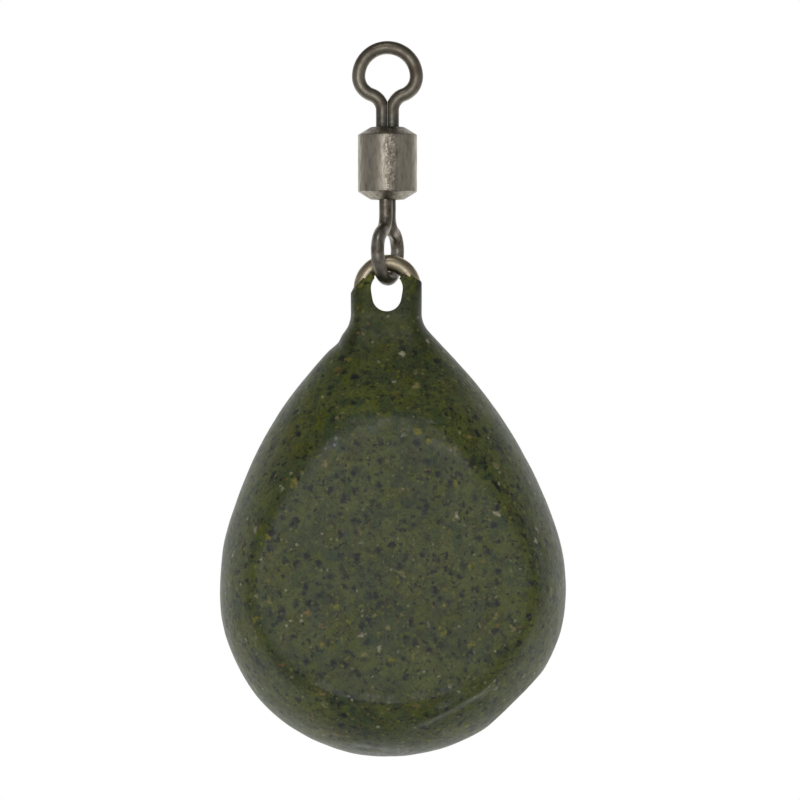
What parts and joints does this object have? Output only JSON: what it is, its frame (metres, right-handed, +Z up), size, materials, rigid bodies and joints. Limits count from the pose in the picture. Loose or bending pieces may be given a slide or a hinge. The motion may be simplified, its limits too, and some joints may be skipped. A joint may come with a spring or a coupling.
{
  "type": "fishing sinker",
  "caption": "Flat pear fishing weight: a coated lead body on a cast-in wire loop, hung from a barrel swivel whose wire eyes turn freely.",
  "frame": {"origin": "centre of the upper wire eye, from which the sinker hangs", "axes": "+Z up along the swivel, X across the width of the lead, Y through its thickness, with the pictured face towards -Y"},
  "size_m": [0.0249, 0.0142, 0.0516],
  "materials": {
    "upper_eye": "satin",
    "upper_bead": "satin",
    "swivel_barrel": "satin",
    "lower_bead": "satin",
    "lower_eye": "satin",
    "cast_in_loop": "satin",
    "lead_core": "matte",
    "coating": "satin"
  },
  "bodies": {
    "top_eye": {"upper_eye": "upper_eye", "upper_bead": "upper_bead"},
    "barrel": {"swivel_barrel": "swivel_barrel"},
    "bottom_eye": {"lower_eye": "lower_eye", "lower_bead": "lower_bead"},
    "weight": {"cast_in_loop": "cast_in_loop", "lead_core": "lead_core", "coating": "coating"}
  },
  "joints": [
    {"name": "barrel_spin", "type": "hinge", "parent": "top_eye", "child": "barrel", "pos_m": [0, 0, -0.00364], "axis": [0, 0, 1], "continuous": true},
    {"name": "lower_eye_spin", "type": "hinge", "parent": "barrel", "child": "bottom_eye", "pos_m": [0, 0, -0.00886], "axis": [0, 0, 1], "continuous": true},
    {"name": "lead_swing", "type": "hinge", "parent": "bottom_eye", "child": "weight", "pos_m": [0, 0, -0.01341], "axis": [0.9397, -0.342, 0], "range_deg": [-125, 125]}
  ]
}
